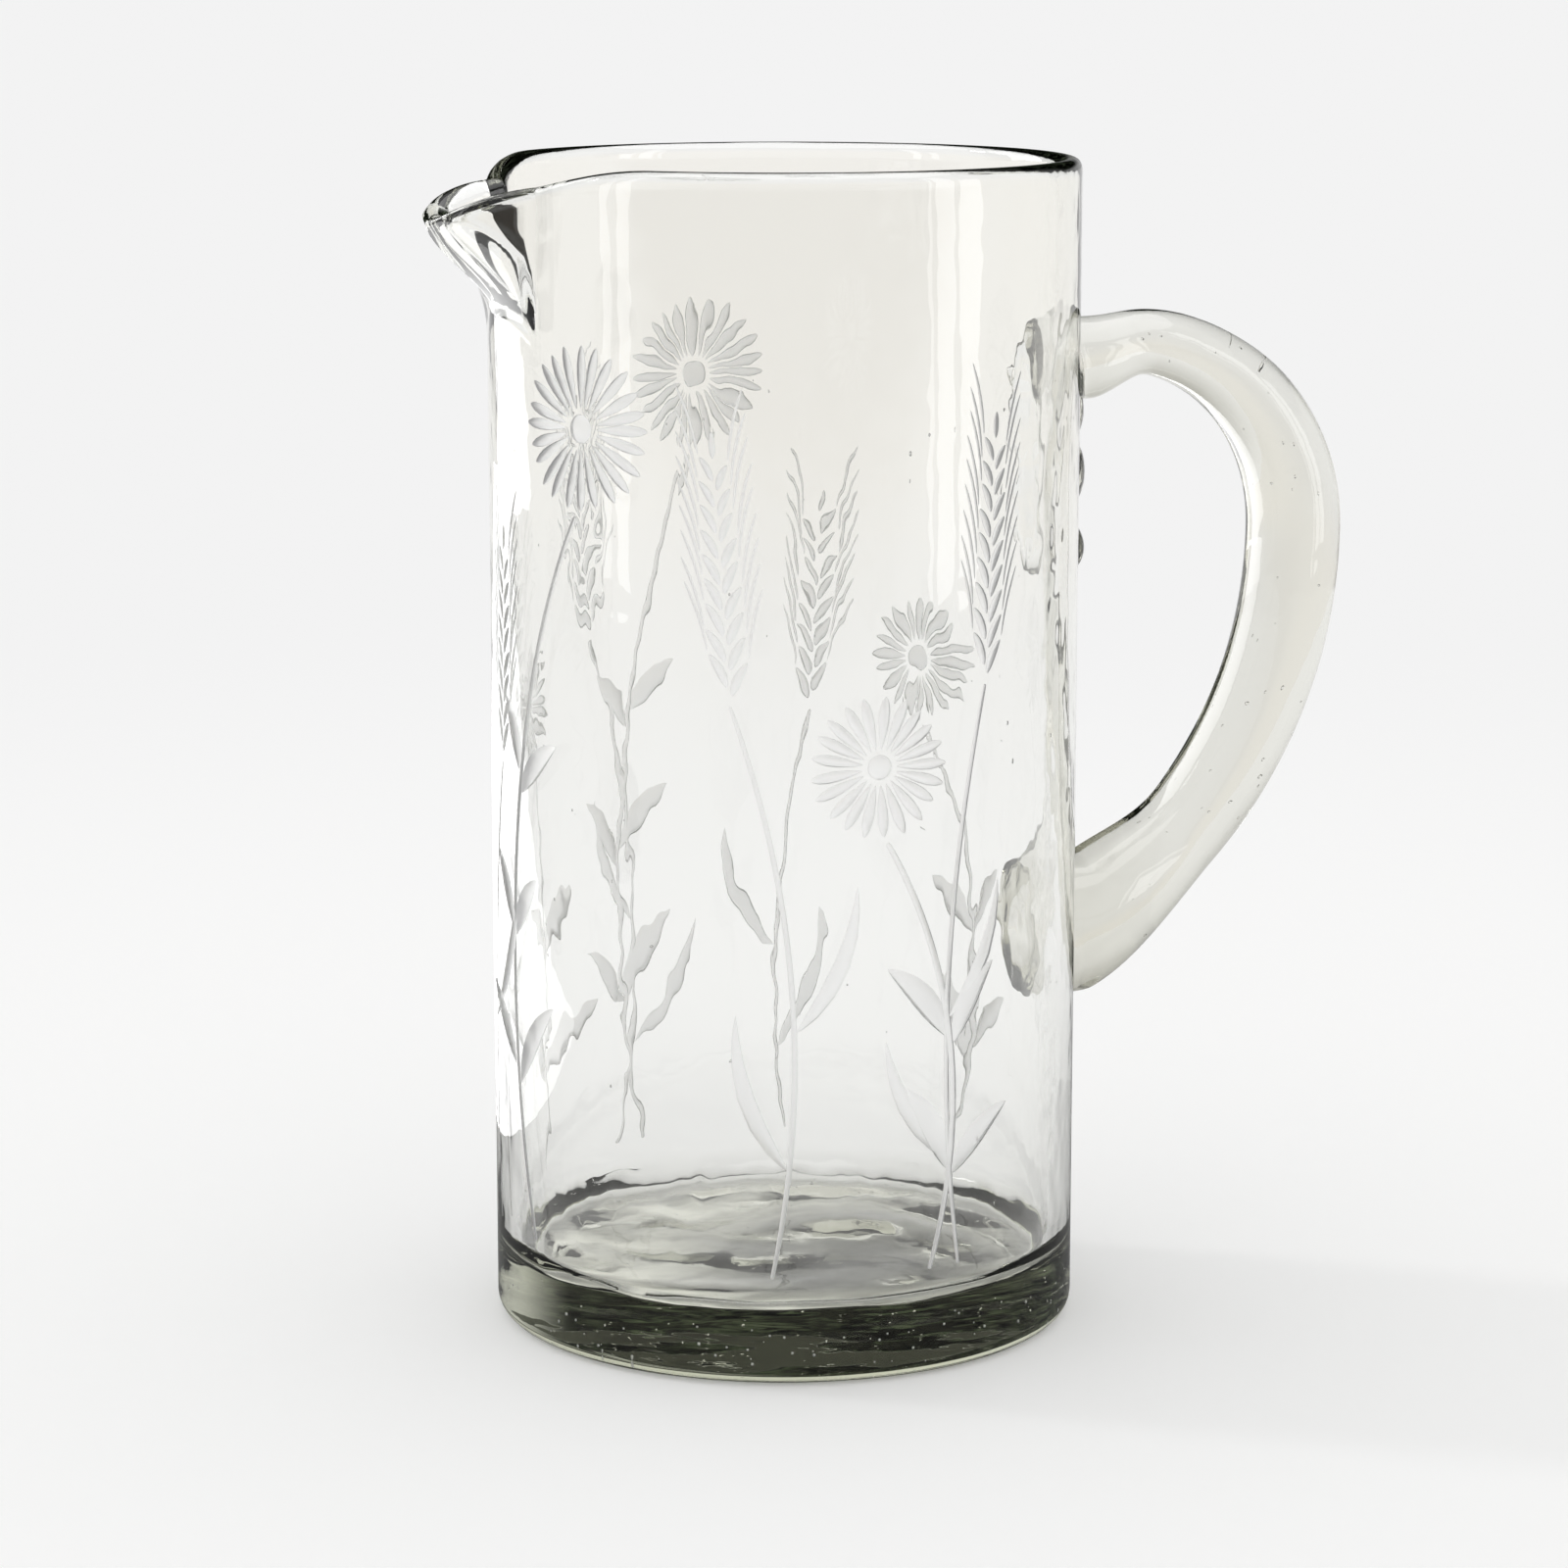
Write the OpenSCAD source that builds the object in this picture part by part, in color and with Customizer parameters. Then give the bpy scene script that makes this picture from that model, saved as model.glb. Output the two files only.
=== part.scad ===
// Hand-blown glass pitcher: a straight tumbler body on a thick solid base, with a
// pinched pouring spout and an applied handle that is drawn thinner towards its top.
// The axis of the body is Z, the base stands on Z = 0, the handle points along +X
// and the spout along -X.

/* [Body] */
// Outside diameter of the body
body_d = 108; // [90:1:130]
// Height from the table to the top of the rim
body_h = 215; // [190:1:260]
// Thickness of the wall
wall_t = 4; // [3:0.25:6]

/* [Base] */
// Thickness of the solid floor
floor_t = 12.5; // [8:0.5:20]
// Radius of the inside fillet between floor and wall
floor_fillet_r = 5; // [4:0.5:20]
// Radius of the melted edge round the foot
foot_round_r = 3.5; // [1.5:0.25:6]

/* [Rim] */
// Height of the fire-polished band along the rim
rim_h = 4; // [3.5:0.25:8]

/* [Spout] */
// How far the tip of the spout stands out from the wall
spout_reach = 14; // [8:0.5:20]
// How far below the rim the spout's trough runs out into the wall
spout_depth = 28.5; // [22:0.5:40]
// How much lower the sides of the trough run out
cheek_fall = 5; // [2:0.5:9]
// How far below the tip the crease along each side ends
crease_drop = 10; // [6:0.5:13]
// Angle about the body's axis, to each side, over which the wall is drawn out
spout_angle = 16; // [12:1:24]
// How much narrower that angle is on the inside of the wall
cheek_angle = 2.6; // [2:0.2:6]
// How far the rim is pressed down on its way to the spout
lip_sag = 5; // [2:0.5:7]
// How far the pouring tip dips below that
tip_dip = 4.5; // [2:0.5:7]
// Angle about the body's axis, to each side, at which the lip leaves the level rim
lip_angle = 44; // [36:1:56]
// Extra glass that the floor of the spout keeps above the thickness of the wall
spout_fill = 1.6; // [0.5:0.1:3]

/* [Handle] */
// Distance from the rim down to the middle of the handle's upper end
handle_drop = 35.5; // [30:0.5:55]
// Distance from the wall out to the middle of the handle at its farthest
handle_reach = 50; // [45:0.5:65]
// Radius of the upper bend, along the middle of the handle
upper_bend_r = 36.5; // [28:0.5:44]
// Radius of the long lower bend, along the middle of the handle
lower_bend_r = 85; // [60:1:100]
// Thickness of the handle at its upper end, seen from the side
handle_top_t = 11.6; // [9:0.2:16]
// Width of the handle at its upper end, seen from the back
handle_top_w = 14; // [10:0.5:18]
// Thickness of the handle at its lower end, seen from the side
handle_low_t = 17.5; // [13:0.5:22]
// Width of the handle at its lower end, seen from the back
handle_low_w = 17; // [13:0.5:22]

/* [Welds] */
// Thickness of the glass between the wall and each end of the handle
weld_t = 4.5; // [3.5:0.25:6]
// How far the upper root sags below the level of the handle
upper_root_sag = 3; // [0:0.5:7]
// Height of the upper root, where the handle spreads on the wall
upper_root_t = 15.5; // [13:0.5:22]
// Width of the upper root
upper_root_w = 17; // [14:0.5:20]
// Height of the lower root
lower_root_t = 26; // [20:0.5:32]
// Width of the lower root
lower_root_w = 24; // [16:0.5:28]
// How far along the handle the upper root spreads
upper_flare = 14; // [8:0.5:24]
// How far along the handle the lower root spreads
lower_flare = 30; // [12:0.5:40]
// Height of the patch of glass pressed down the wall at the upper weld
tail_h = 48; // [36:1:60]
// Width of that patch
tail_w = 30; // [20:0.5:34]
// Thickness of that patch
tail_t = 3; // [2:0.25:3.25]

/* [Hidden] */
$fn = 128;

// Steps of a drawn arc, of the spout's lip (an odd number), columns and rows, and of the handle's rings
arc_steps = 10;
lip_steps = 7;
spout_columns = 52;
spout_rows = 14;
root_rings = 5;
upper_rings = 14;
lower_rings = 20;
handle_sides = 28;
// How far a cut runs past what it cuts
overrun = 1;
// Angle by which the spout's piece reaches past the end of its lip
spout_margin_angle = 2;
// Roundness of the trough's sides and of the line of the crease, and how sharp that crease is
side_power = 0.75;
crease_power = 5;
crease_share = 0.6;
// How much closer the spout's columns stand towards its middle
column_crowding = 1.7;

outer_r = body_d / 2;
inner_r = outer_r - wall_t;
middle_r = outer_r - wall_t / 2;
rim_round_r = wall_t / 2;
base_top_z = floor_t + floor_fillet_r;
rim_z = body_h - rim_h;
spout_foot_z = body_h - spout_depth;
spout_z = spout_foot_z - cheek_fall;
spout_tip_z = body_h - lip_sag - tip_dip;
spout_edge_angle = lip_angle + spout_margin_angle;

// The handle's line: level at the upper weld, round the upper bend, round the lower bend
weld_x = outer_r + weld_t;
handle_x = outer_r + handle_reach;
handle_top_z = body_h - handle_drop;
upper_bend_x = handle_x - upper_bend_r;
lower_bend_x = handle_x - lower_bend_r;
bend_z = handle_top_z - upper_bend_r;
lower_sweep = acos((weld_x - lower_bend_x) / lower_bend_r);
handle_low_z = bend_z - lower_bend_r * sin(lower_sweep);
root_run = upper_bend_x - weld_x;
upper_run = upper_bend_r * PI / 2;
lower_run = lower_bend_r * lower_sweep * PI / 180;
handle_run = root_run + upper_run + lower_run;
upper_root_z = handle_top_z - upper_root_sag;
tail_z = upper_root_z + upper_root_t / 2 - tail_h / 2;

glass_tint = [0.86, 0.89, 0.85, 0.45];
base_tint = [0.52, 0.57, 0.49, 0.7];
handle_tint = [0.8, 0.82, 0.77, 0.55];

// Points of an arc about a centre, from one angle to another
function arc_points(x, y, r, from, to, steps) = [
    for (i = [0 : steps])
        let (a = from + (to - from) * i / steps)
        [x + r * cos(a), y + r * sin(a)]
];

// Points of an oval of a given width and height, starting beside its right-hand end
function oval_points(w, h) = [
    for (i = [0 : handle_sides - 1])
        let (a = 360 * (i + 1 / 2) / handle_sides)
        [w / 2 * cos(a), h / 2 * sin(a)]
];

// Skin of triangles over rings of n points each, closed at both ends. Point k of a
// ring lies opposite point n - 1 - k, so the end faces are strips across the ring.
function ring_faces(rings, n) = concat(
    [
        for (i = [0 : rings - 2], k = [0 : n - 1])
            let (a = i * n + k, b = i * n + (k + 1) % n)
            each [[a, a + n, b], [b, a + n, b + n]]
    ],
    end_faces(0, n, true),
    end_faces((rings - 1) * n, n, false)
);
function end_faces(start, n, turned) = [
    for (k = [0 : n / 2 - 2])
        let (a = start + k, b = start + n - 1 - k)
        each turned
            ? [[a, a + 1, b], [a + 1, b - 1, b]]
            : [[a, b, a + 1], [a + 1, b, b - 1]]
];

// Smooth step from 0 to 1, and a smooth bump that falls from 1 to 0
function rise(share) = share <= 0 ? 0 : share >= 1 ? 1 : share * share * (3 - 2 * share);
function bump(share) = 1 - rise(share);

// The spout is a trough: its sides stand upright down to a crease, and below that its underside runs
// back to the wall. Distance of a skin from the axis at an angle from the spout's middle
function spout_r(skin_r, half_angle, angle, z, sharp_share) =
    let (
        share = min(1, abs(angle) / half_angle),
        side = spout_reach * pow(1 - share * share, side_power),
        crease_z = spout_tip_z - crease_drop * pow(share, crease_power),
        foot_z = spout_foot_z - cheek_fall * share * share,
        grown = min(1, (z - foot_z) / (crease_z - foot_z)),
        fold = 1 - sharp_share * share
    )
    skin_r + side * rise(fold * grown) / rise(fold);
function lip_z(angle) =
    body_h - lip_sag * bump(abs(angle) / lip_angle) - tip_dip * bump(abs(angle) / spout_angle);

// One upright slice of the spout as [distance, height]: up the outside, over the lip, down the inside
function spout_slice(angle) =
    let (
        top = lip_z(angle) - rim_round_r,
        rows = [for (j = [0 : spout_rows]) spout_z + (top - spout_z) * j / spout_rows],
        outside = [for (z = rows) spout_r(outer_r, spout_angle, angle, z, crease_share)],
        inside = [for (z = rows) spout_r(inner_r, spout_angle - cheek_angle, angle, z - spout_fill, 0)],
        lip_r = (outside[spout_rows] - inside[spout_rows]) / 2,
        lip_x = (outside[spout_rows] + inside[spout_rows]) / 2
    )
    concat(
        [for (j = [0 : spout_rows]) [outside[j], rows[j]]],
        [
            for (i = [1 : lip_steps - 1])
                let (a = 180 * i / lip_steps)
                [lip_x + lip_r * cos(a), top + rim_round_r * sin(a)]
        ],
        [for (j = [0 : spout_rows]) [inside[spout_rows - j], rows[spout_rows - j]]]
    );

// Middle of the handle, and how far it has turned, at a length along its line
function handle_point(s) = line_point(s) - [0, upper_root_sag * bump(s / upper_flare)];
function line_point(s) =
    s <= root_run
        ? [weld_x + s, handle_top_z]
        : s <= root_run + upper_run
            ? let (a = 90 - 90 * (s - root_run) / upper_run)
              [upper_bend_x + upper_bend_r * cos(a), bend_z + upper_bend_r * sin(a)]
            : let (a = -lower_sweep * (s - root_run - upper_run) / lower_run)
              [lower_bend_x + lower_bend_r * cos(a), bend_z + lower_bend_r * sin(a)];
// The cross-section turns on to a half turn, so that both ends stand upright on the wall
function handle_turn(s) =
    s <= root_run
        ? 0
        : s <= root_run + upper_run
            ? 90 * (s - root_run) / upper_run
            : 90 + 90 * (s - root_run - upper_run) / lower_run;
// A size that grows from the top of the handle to the bottom and spreads at both roots
function handle_size(s, top, low, upper_root, lower_root) =
    let (
        plain = top + (low - top) * rise(s / (root_run + upper_run)),
        upper_share = bump(s / upper_flare),
        lower_share = bump((handle_run - s) / lower_flare)
    )
    plain + (upper_root - plain) * upper_share + (lower_root - plain) * lower_share;
// Where the rings stand: along the level run, along the upper bend and along the lower one
handle_stations = concat(
    [for (i = [0 : root_rings - 1]) root_run * i / root_rings],
    [for (i = [0 : upper_rings - 1]) root_run + upper_run * i / upper_rings],
    [for (i = [0 : lower_rings]) root_run + upper_run + lower_run * i / lower_rings]
);

// A bar of oval section that runs out along +X from the axis to the face of a weld
module root_bar(z, w, h) {
    translate([0, 0, z])
        rotate([90, 0, 90])
            linear_extrude(height = weld_x)
                polygon(oval_points(w, h));
}

// Everything inside the outer face of the wall, or inside a larger radius
module wall_core(extra_t = 0) {
    cylinder(h = body_h, r = outer_r + extra_t);
}

// The sector of wall and rim whose place the spout takes
module spout_gap() {
    far = body_d;
    translate([0, 0, spout_z])
        linear_extrude(height = body_h - spout_z + overrun)
            polygon([
                [0, 0],
                [-far * cos(spout_edge_angle), far * sin(spout_edge_angle)],
                [-far, far * sin(spout_edge_angle)],
                [-far, -far * sin(spout_edge_angle)],
                [-far * cos(spout_edge_angle), -far * sin(spout_edge_angle)]
            ]);
}

// Solid glass floor, with the melted edge below and the fillet up to the wall
module base() {
    color(base_tint)
        rotate_extrude()
            polygon(concat(
                [[0, 0]],
                arc_points(outer_r - foot_round_r, foot_round_r, foot_round_r, -90, 0, arc_steps),
                [[outer_r, base_top_z]],
                arc_points(inner_r - floor_fillet_r, base_top_z, floor_fillet_r, 0, -90, arc_steps),
                [[0, floor_t]]
            ));
}

// Straight wall of the body
module barrel() {
    color(glass_tint)
        difference() {
            translate([0, 0, base_top_z])
                cylinder(h = rim_z - base_top_z, r = outer_r);
            translate([0, 0, base_top_z - overrun])
                cylinder(h = rim_z - base_top_z + 2 * overrun, r = inner_r);
            spout_gap();
        }
}

// Fire-polished edge of the mouth, round at the top and open at the spout
module rim() {
    color(glass_tint)
        difference() {
            rotate_extrude()
                polygon(concat(
                    [[inner_r, rim_z], [outer_r, rim_z]],
                    arc_points(middle_r, body_h - rim_round_r, rim_round_r, 0, 180, arc_steps)
                ));
            spout_gap();
        }
}

// Wall and lip drawn out into the pouring spout
module spout() {
    angles = [
        for (i = [0 : spout_columns])
            let (across = 2 * i / spout_columns - 1)
            spout_edge_angle * sign(across) * pow(abs(across), column_crowding)
    ];
    slices = [for (a = angles) spout_slice(a)];
    sides = len(slices[0]);
    color(glass_tint)
        polyhedron(
            points = [
                for (i = [0 : spout_columns], p = slices[i])
                    [-p[0] * cos(angles[i]), p[0] * sin(angles[i]), p[1]]
            ],
            faces = ring_faces(spout_columns + 1, sides)
        );
}

// Applied handle, one rod of glass from the upper weld round to the lower weld
module handle() {
    color(handle_tint)
        polyhedron(
            points = [
                for (s = handle_stations)
                    let (
                        middle = handle_point(s),
                        turn = handle_turn(s),
                        t = handle_size(s, handle_top_t, handle_low_t, upper_root_t, lower_root_t),
                        w = handle_size(s, handle_top_w, handle_low_w, upper_root_w, lower_root_w)
                    )
                    for (p = oval_points(w, t))
                        [middle[0] + p[1] * sin(turn), p[0], middle[1] + p[1] * cos(turn)]
            ],
            faces = ring_faces(len(handle_stations), handle_sides)
        );
}

// Upper end of the handle, with the spare glass pressed down the wall below it
module upper_weld() {
    color(handle_tint)
        difference() {
            union() {
                intersection() {
                    root_bar(tail_z, tail_w, tail_h);
                    wall_core(tail_t);
                }
                root_bar(upper_root_z, upper_root_w, upper_root_t);
            }
            wall_core();
        }
}

// Lower end of the handle, the first to be set on the wall
module lower_weld() {
    color(handle_tint)
        difference() {
            root_bar(handle_low_z, lower_root_w, lower_root_t);
            wall_core();
        }
}

base();
barrel();
rim();
spout();
handle();
upper_weld();
lower_weld();
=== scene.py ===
"""Cocktail pitcher of hand-blown glass: pulled spout, applied handle, wheel-cut daisies and wheat."""

import cmath
import math
import random

import bpy
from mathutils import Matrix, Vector, noise


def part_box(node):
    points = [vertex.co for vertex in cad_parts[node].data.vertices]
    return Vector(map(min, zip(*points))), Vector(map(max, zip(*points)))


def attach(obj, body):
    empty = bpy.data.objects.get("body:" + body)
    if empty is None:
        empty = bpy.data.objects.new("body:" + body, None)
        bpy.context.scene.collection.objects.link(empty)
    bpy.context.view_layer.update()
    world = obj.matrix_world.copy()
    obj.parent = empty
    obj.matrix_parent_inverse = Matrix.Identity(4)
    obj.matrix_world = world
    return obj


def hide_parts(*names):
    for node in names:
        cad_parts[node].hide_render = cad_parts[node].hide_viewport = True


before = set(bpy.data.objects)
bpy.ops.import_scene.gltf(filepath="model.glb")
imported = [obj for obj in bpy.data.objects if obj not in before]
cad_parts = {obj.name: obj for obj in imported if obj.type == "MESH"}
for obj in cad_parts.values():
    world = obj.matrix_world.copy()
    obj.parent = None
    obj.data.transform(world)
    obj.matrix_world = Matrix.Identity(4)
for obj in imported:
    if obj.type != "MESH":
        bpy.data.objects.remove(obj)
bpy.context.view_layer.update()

# Sizes in metres, read from the solids of the frame
MM = 0.001
OUTER_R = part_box("barrel")[1].x
BODY_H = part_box("rim")[1].z
SPOUT_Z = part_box("spout")[0].z
SPOUT_TIP_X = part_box("spout")[0].x
WELD_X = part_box("handle")[0].x

# Glass of the body
WALL_T = 4.0 * MM
FLOOR_T = 12.5 * MM
FLOOR_FILLET_R = 5.0 * MM
FOOT_ROUND_R = 3.5 * MM
INNER_R = OUTER_R - WALL_T

# Fineness of its mesh: parts round the axis and in each arc, and steps between them
SEGMENTS = 272
FOOT_PARTS, RIM_PARTS, FILLET_PARTS = 7, 10, 12
UNDERSIDE_STEP, FLOOR_STEP = 4.0 * MM, 2.4 * MM
WALL_STEP, SPOUT_STEP = 6.0 * MM, 1.6 * MM
FINE_DROP = 8.0 * MM
FINE_MARGIN_ANGLE = 4.0
FINE_CUTS = 2
MERGE_GAP = 0.001 * MM
BODY_CREASE_ANGLE = 25.0

# Spout: a round trough whose upright sides meet its sloping underside in a crease
SPOUT_REACH = -SPOUT_TIP_X - OUTER_R
SPOUT_TIP_Z = BODY_H - 9.5 * MM
SPOUT_FOOT_Z = SPOUT_TIP_Z - 19.0 * MM
SPOUT_ANGLE = 16.0
SPOUT_INNER_ANGLE = 13.4
SIDE_CURVE = 0.75
CREASE_DROP = 10.0 * MM
CREASE_CURVE = 5
CREASE_SHARE = 0.6
CHEEK_FALL = 5.0 * MM
INNER_CURVE = 1.0
THROAT_DEPTH = 0.7 * MM
THROAT_ANGLE = 15.0
THROAT_FOOT_Z = SPOUT_FOOT_Z - 22.0 * MM
THROAT_TOP_Z = SPOUT_FOOT_Z + 4.0 * MM
LIP_SAG = 5.0 * MM
LIP_ANGLE = 44.0
TIP_DIP = 4.5 * MM
SPOUT_FILL = 1.6 * MM
WALL_SLACK = 1.0 * MM

# Unevenness of the blown glass. Outer and inner face: width and height of the swells, depth, layer of noise
OUTER_FACE_SHARE = 0.6
OUTER_SWELLS = (22.0 * MM, 75.0 * MM, 0.12 * MM, 0)
INNER_SWELLS = (16.0 * MM, 55.0 * MM, 0.22 * MM, 9)
FILLET_CLEAR = 2.0 * MM
# Floor: twist in radians per metre, then broad and fine swells as width, length and layer of noise
FLOOR_TWIST = 40.0
FLOOR_SWELLS = (24.0 * MM, 17.0 * MM, 4)
FINE_SWELLS = (8.0 * MM, 6.0 * MM, 7)
FINE_SHARE = 0.15
FLOOR_DEPTH = 0.9 * MM
# Hollow underside, inside a flat ring that the pitcher stands on
HOLLOW_SWELLS = (18.0 * MM, 14.0 * MM, 2)
HOLLOW_DEPTH = 0.35 * MM
RING_W = 5.0 * MM
HOLLOW_SLOPE_W = 8.0 * MM
UNDERSIDE_SLACK = 0.1 * MM

# Handle: level run, tight upper bend, wide lower bend. Its sections are thickness and width.
HANDLE_TOP_Z = BODY_H - 35.5 * MM
UPPER_BEND_R = 36.5 * MM
LOWER_BEND_R = 85.0 * MM
HANDLE_X = OUTER_R + 50.0 * MM
UPPER_BEND_X = HANDLE_X - UPPER_BEND_R
LOWER_BEND_X = HANDLE_X - LOWER_BEND_R
BEND_Z = HANDLE_TOP_Z - UPPER_BEND_R
HANDLE_TOP = (11.6 * MM, 14.0 * MM)
HANDLE_LOW = (17.5 * MM, 17.0 * MM)
UPPER_ROOT = (15.5 * MM, 17.0 * MM)
LOWER_ROOT = (26.0 * MM, 24.0 * MM)
INNER_SIDE_CURVE = 0.7
UPPER_ROOT_SAG = 3.0 * MM
UPPER_FLARE = 14.0 * MM
LOWER_FLARE = 30.0 * MM
HANDLE_SIDES, HANDLE_RINGS = 64, 90
HANDLE_CREASE_ANGLE = 50.0

# Lengths of the handle's runs along its middle
ROOT_RUN = UPPER_BEND_X - WELD_X
UPPER_RUN = UPPER_BEND_R * math.pi / 2
LOWER_SWEEP = math.acos((WELD_X - LOWER_BEND_X) / LOWER_BEND_R)
LOWER_RUN = LOWER_BEND_R * LOWER_SWEEP
HANDLE_RUN = ROOT_RUN + UPPER_RUN + LOWER_RUN

# Gobs of the tail: height up the weld as a share, width, height, thickness and shift round the wall
TAIL_GOBS = (
    (0.12, 15.0 * MM, 11.0 * MM, 3.6 * MM, -4.0 * MM),
    (0.24, 25.0 * MM, 24.0 * MM, 3.2 * MM, 2.5 * MM),
    (0.42, 15.0 * MM, 13.0 * MM, 3.0 * MM, -6.0 * MM),
    (0.55, 25.0 * MM, 22.0 * MM, 2.9 * MM, 2.5 * MM),
    (0.66, 16.0 * MM, 13.0 * MM, 3.0 * MM, -4.5 * MM),
    (0.78, 26.0 * MM, 18.0 * MM, 3.2 * MM, 0.5 * MM),
)
GOB_SEGMENTS, GOB_RINGS = 32, 16

# Melting of rod and gobs into one, the swells along the rod and the lumps where the wall chilled it
MELT_VOXEL = 0.7 * MM
MELT_FACTOR, MELT_PASSES = 0.5, 9
ROD_W, ROD_H, ROD_DEPTH = 12.0 * MM, 30.0 * MM, 0.15 * MM
LUMP_W, LUMP_H, LUMP_DEPTH, LUMP_REACH = 4.0 * MM, 5.0 * MM, 0.35 * MM, 6.0 * MM

# Plug that trims the handle: film of air at the weld, width and parts, and the chilled skin of the weld
WELD_FILM = 0.08 * MM
CORE_W = 60.0 * MM
CORE_PARTS_W, CORE_PARTS_H = 80, 240
CHILL_W, CHILL_H, CHILL_DEPTH = 3.5 * MM, 5.0 * MM, 0.9 * MM
CHILL_LAYER = 1

# Wheel-cut pattern, on the outer wall: sprays of daisies and of wheat that stand round the body in turn.
# Daisies: degrees round the wall, height of the flower, its radius, number of petals, lean of the stem
DAISIES = (
    (38.0, 116.0 * MM, 12.5 * MM, 20, 0.10),
    (90.0, 171.0 * MM, 15.0 * MM, 24, -0.08),
    (146.0, 112.0 * MM, 12.5 * MM, 20, 0.09),
    (209.0, 170.0 * MM, 15.0 * MM, 24, 0.10),
    (268.0, 112.0 * MM, 13.0 * MM, 21, -0.11),
)
# Wheat: degrees round the wall, height of the foot of the ear, pairs of grains, lean of the stem
EARS = (
    (64.0, 106.0 * MM, 8, -0.06),
    (118.0, 122.0 * MM, 9, 0.08),
    (179.0, 108.0 * MM, 8, 0.05),
    (240.0, 124.0 * MM, 9, -0.07),
    (291.0, 126.0 * MM, 9, 0.05),
)
CUT_DRAWS = 7
SPINDLE_SIDES, SPINDLE_RINGS, STEM_RINGS = 12, 8, 40
SPRAY_FOOT_Z = 20.0 * MM
STEM_W, STEM_DEPTH, STEM_POINT = 1.3 * MM, 0.5 * MM, 0.12
LEAF_L, LEAF_W, LEAF_DEPTH = 19.0 * MM, 5.0 * MM, 0.6 * MM
LEAF_POINT, LEAF_SKEW, LEAF_BOW, LEAF_LEAN = 0.8, -0.15, 0.09, 0.16
LEAF_ANGLES, LEAF_LENGTHS = (34, 46), (0.85, 1.1)
LEAF_GAP, LEAF_STAGGER = 1.0 * MM, 4.0 * MM
FIRST_LEAF_SHARE, LEAVES_SHARE, LEAF_LOSS_SHARE = 0.2, 0.6, 0.12
LEAF_PAIRS, TALL_STEM_Z = 2, 140.0 * MM
FLOWER_GAP = 0.6 * MM
EYE_SHARE, EYE_POINT = 0.17, 0.5
PETAL_DEPTH, PETAL_POINT, PETAL_SKEW = 0.7 * MM, 0.7, 0.45
PETAL_ROOT_SHARE, PETAL_LENGTHS, PETAL_STRAY = 0.24, (0.93, 1.0), 0.1
STALK_SHARE, STALK_GAP = 0.8, 1.0 * MM
BLADES = ((1, 0.18), (-1, 0.42))
BLADE_ANGLE, BLADE_LENGTHS = 24, (0.9, 1.1)
BLADE_L, BLADE_W = 1.5 * LEAF_L, 0.6 * LEAF_W
BLADE_BOW, BLADE_SKEW = 0.1, -0.3
GRAIN_L, GRAIN_W, GRAIN_STEP, GRAIN_GAP = 6.6 * MM, 1.75 * MM, 4.5 * MM, 0.9 * MM
GRAIN_POINT, GRAIN_SKEW, GRAIN_BOW = 0.6, -0.1, 0.06
GRAIN_ANGLES, GRAIN_STAGGER_SHARE, GRAIN_LOSS_SHARE = (25, 29), 0.35, 0.35
LAST_GRAIN_STEP, LAST_GRAIN_SHARE = 0.4, 0.7
AWN_L, AWN_W, AWN_DEPTH, AWN_GAP = 13.0 * MM, 0.55 * MM, 0.3 * MM, 0.5 * MM
AWN_ANGLE, AWN_BOW, AWN_POINT = 15, 0.04, 0.4

# Seeds, small bubbles left in the glass: number, ranges of height and radius, and where they lie
BODY_DRAWS, HANDLE_DRAWS = 3, 5
BASE_SEEDS, BASE_SEED_Z, BASE_SEED_R = 70, (3.0 * MM, 9.0 * MM), (0.10 * MM, 0.32 * MM)
BASE_SEED_MARGIN = 3.0 * MM
# Near the side of the base the seeds are satin: white specks that are painted glints
SIDE_SEEDS, SIDE_SEED_Z, SIDE_SEED_R = 110, (2.0 * MM, 10.0 * MM), (0.12 * MM, 0.34 * MM)
SIDE_SEED_DEPTHS = (1.5 * MM, 9.0 * MM)
WALL_SEEDS, WALL_SEED_Z, WALL_SEED_R = 60, (22.0 * MM, 170.0 * MM), (0.10 * MM, 0.26 * MM)
WALL_SEED_DEPTHS, WALL_SEED_DRAWN = (1.3 * MM, 2.7 * MM), (1.0, 2.2)
ROD_SEEDS, ROD_SEED_R, ROD_SEED_DRAWN = 60, (0.09 * MM, 0.24 * MM), (1.0, 3.0)
ROD_SEED_RUN, ROD_SEED_OUT, ROD_SEED_ACROSS = (0.06, 0.94), (-0.38, 0.38), (-0.3, 0.3)

# Glass: its index, how clear and how rough a satin cut is, and the skin's waves: across, along and depth
GLASS_IOR = 1.5
CUT_CLEAR, CUT_ROUGH = 0.62, 0.38
WAVE_H, WAVE_L, WAVE_DEPTH = 5.5 * MM, 9.0 * MM, 0.08 * MM
# Tint, and how soon it shows, per metre of glass
BODY_TINT, BODY_DENSITY = "BABF8E", 9.0
HANDLE_TINT, HANDLE_DENSITY = "D4D3C4", 34.0

# Camera, from the photograph's viewing angle
CAMERA_TURN = 20.0
CAMERA_DISTANCE = 853.2 * MM
CAMERA_HEIGHT = 260.7 * MM
CAMERA_PITCH = 10.71
LENS_MM = 107.4
SENSOR_MM = 36.0
CLIP_START = 10.0 * MM
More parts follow.
